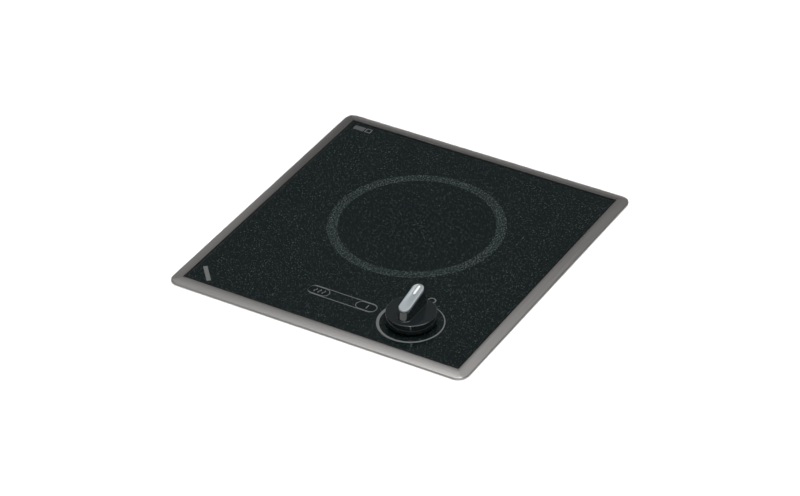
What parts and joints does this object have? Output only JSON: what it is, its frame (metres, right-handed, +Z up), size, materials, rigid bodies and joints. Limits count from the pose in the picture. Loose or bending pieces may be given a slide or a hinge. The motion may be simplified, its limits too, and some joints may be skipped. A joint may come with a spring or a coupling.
{
  "type": "hot plate burner",
  "caption": "Built-in hot plate: black glass-ceramic top in a bevelled steel trim, one radiant zone below it, a push-and-turn knob and swing-out clamps for a worktop cut-out.",
  "frame": {"origin": "bottom centre of the burner box, under the middle of the trim frame", "axes": "+Z up through the glass, +Y to the back, the knob is at front right"},
  "size_m": [0.305, 0.316, 0.0887],
  "materials": {
    "brushed_trim": "brushed along each rail",
    "black_glass": "glossy, black, fine printed speckle",
    "silicone": "matte black silicone",
    "foam_rubber": "closed-cell foam",
    "galvanised_sheet": "galvanised, satin",
    "zinc_fastener": "bright zinc",
    "fibre_insulation": "pressed ceramic fibre, matte",
    "heating_alloy": "oxidised ribbon",
    "steatite": "glazed white",
    "spring_steel": "bright spring steel",
    "regulator_plastic": "moulded thermoset",
    "brass": "plain brass",
    "knob_black": "high gloss moulded",
    "knob_silver": "silver lacquer, satin",
    "pointer_white": "white inlay",
    "lamp_amber": "translucent amber",
    "gland_black": "moulded nylon",
    "wire_insulation": "silicone rubber insulation"
  },
  "bodies": {
    "hob": {"trim_frame": "brushed_trim", "glass_top": "black_glass", "glass_sealant": "silicone", "trim_gasket": "foam_rubber", "burner_box": "galvanised_sheet", "flange_screw_1": "zinc_fastener", "flange_screw_2": "zinc_fastener", "flange_screw_3": "zinc_fastener", "flange_screw_4": "zinc_fastener", "flange_screw_5": "zinc_fastener", "flange_screw_6": "zinc_fastener", "element_dish": "galvanised_sheet", "insulation_base": "fibre_insulation", "insulation_ring": "fibre_insulation", "heating_ribbon": "heating_alloy", "limiter_rod": "steatite", "limiter_head": "steatite", "element_terminal_block": "steatite", "element_spring_left": "spring_steel", "element_spring_right": "spring_steel", "regulator_bracket": "galvanised_sheet", "regulator_body": "regulator_plastic", "regulator_face": "galvanised_sheet", "regulator_nut": "brass", "regulator_tab_supply": "brass", "regulator_tab_load": "brass", "shaft_seal": "silicone", "bracket_screw_left": "zinc_fastener", "bracket_screw_right": "zinc_fastener", "lamp_bracket": "galvanised_sheet", "hot_lamp": "lamp_amber", "hot_lens": "lamp_amber", "on_lamp": "lamp_amber", "on_lens": "lamp_amber", "mains_terminal_block": "steatite", "earth_screw": "brass", "cable_gland": "gland_black", "gland_nut": "gland_black", "wire_supply_to_regulator": "wire_insulation", "wire_supply_to_element": "wire_insulation", "wire_regulator_to_element": "wire_insulation", "wire_hot_lamp": "wire_insulation", "wire_on_lamp": "wire_insulation", "clamp_bracket_left": "galvanised_sheet", "clamp_bracket_right": "galvanised_sheet"},
    "cam_rotor": {"shaft_cam": "regulator_plastic", "push_spring": "spring_steel"},
    "knob": {"control_shaft": "spring_steel", "knob_body": "knob_black", "knob_cap": "knob_silver", "pointer_line": "pointer_white", "knob_clip": "spring_steel"},
    "jack_screw_left": {"clamp_screw_left": "zinc_fastener"},
    "lift_nut_left": {"clamp_nut_left": "zinc_fastener"},
    "arm_left": {"clamp_arm_left": "zinc_fastener"},
    "jack_screw_right": {"clamp_screw_right": "zinc_fastener"},
    "lift_nut_right": {"clamp_nut_right": "zinc_fastener"},
    "arm_right": {"clamp_arm_right": "zinc_fastener"}
  },
  "joints": [
    {"name": "knob_turn", "type": "hinge", "parent": "hob", "child": "cam_rotor", "pos_m": [0.0713, -0.1065, 0.03], "axis": [0, 0, 1], "range_deg": [-330, 0]},
    {"name": "knob_push", "type": "slide", "parent": "cam_rotor", "child": "knob", "axis": [0, 0, -1], "range_m": [0, 0.0025], "stiffness_N_per_m": 800, "springref_m": -0.004, "deforming": ["push_spring"]},
    {"name": "clamp_left_screw_turn", "type": "hinge", "parent": "hob", "child": "jack_screw_left", "pos_m": [-0.1378, 0, 0.02], "axis": [0, 0, 1], "range_deg": [0, 12965]},
    {"name": "clamp_left_rise", "type": "slide", "parent": "hob", "child": "lift_nut_left", "axis": [0, 0, 1], "range_m": [0, 0.0252]},
    {"name": "clamp_left_swing", "type": "hinge", "parent": "lift_nut_left", "child": "arm_left", "pos_m": [-0.1378, 0, 0.0125], "axis": [0, 0, 1], "range_deg": [0, 90]},
    {"name": "clamp_right_screw_turn", "type": "hinge", "parent": "hob", "child": "jack_screw_right", "pos_m": [0.1378, 0, 0.02], "axis": [0, 0, 1], "range_deg": [0, 12965]},
    {"name": "clamp_right_rise", "type": "slide", "parent": "hob", "child": "lift_nut_right", "axis": [0, 0, 1], "range_m": [0, 0.0252]},
    {"name": "clamp_right_swing", "type": "hinge", "parent": "lift_nut_right", "child": "arm_right", "pos_m": [0.1378, 0, 0.0125], "axis": [0, 0, -1], "range_deg": [0, 90]}
  ],
  "couplings": [
    {"joint": "clamp_left_screw_turn", "follows": "clamp_left_rise", "rad_per_m": 8976},
    {"joint": "clamp_right_screw_turn", "follows": "clamp_right_rise", "rad_per_m": 8976}
  ]
}
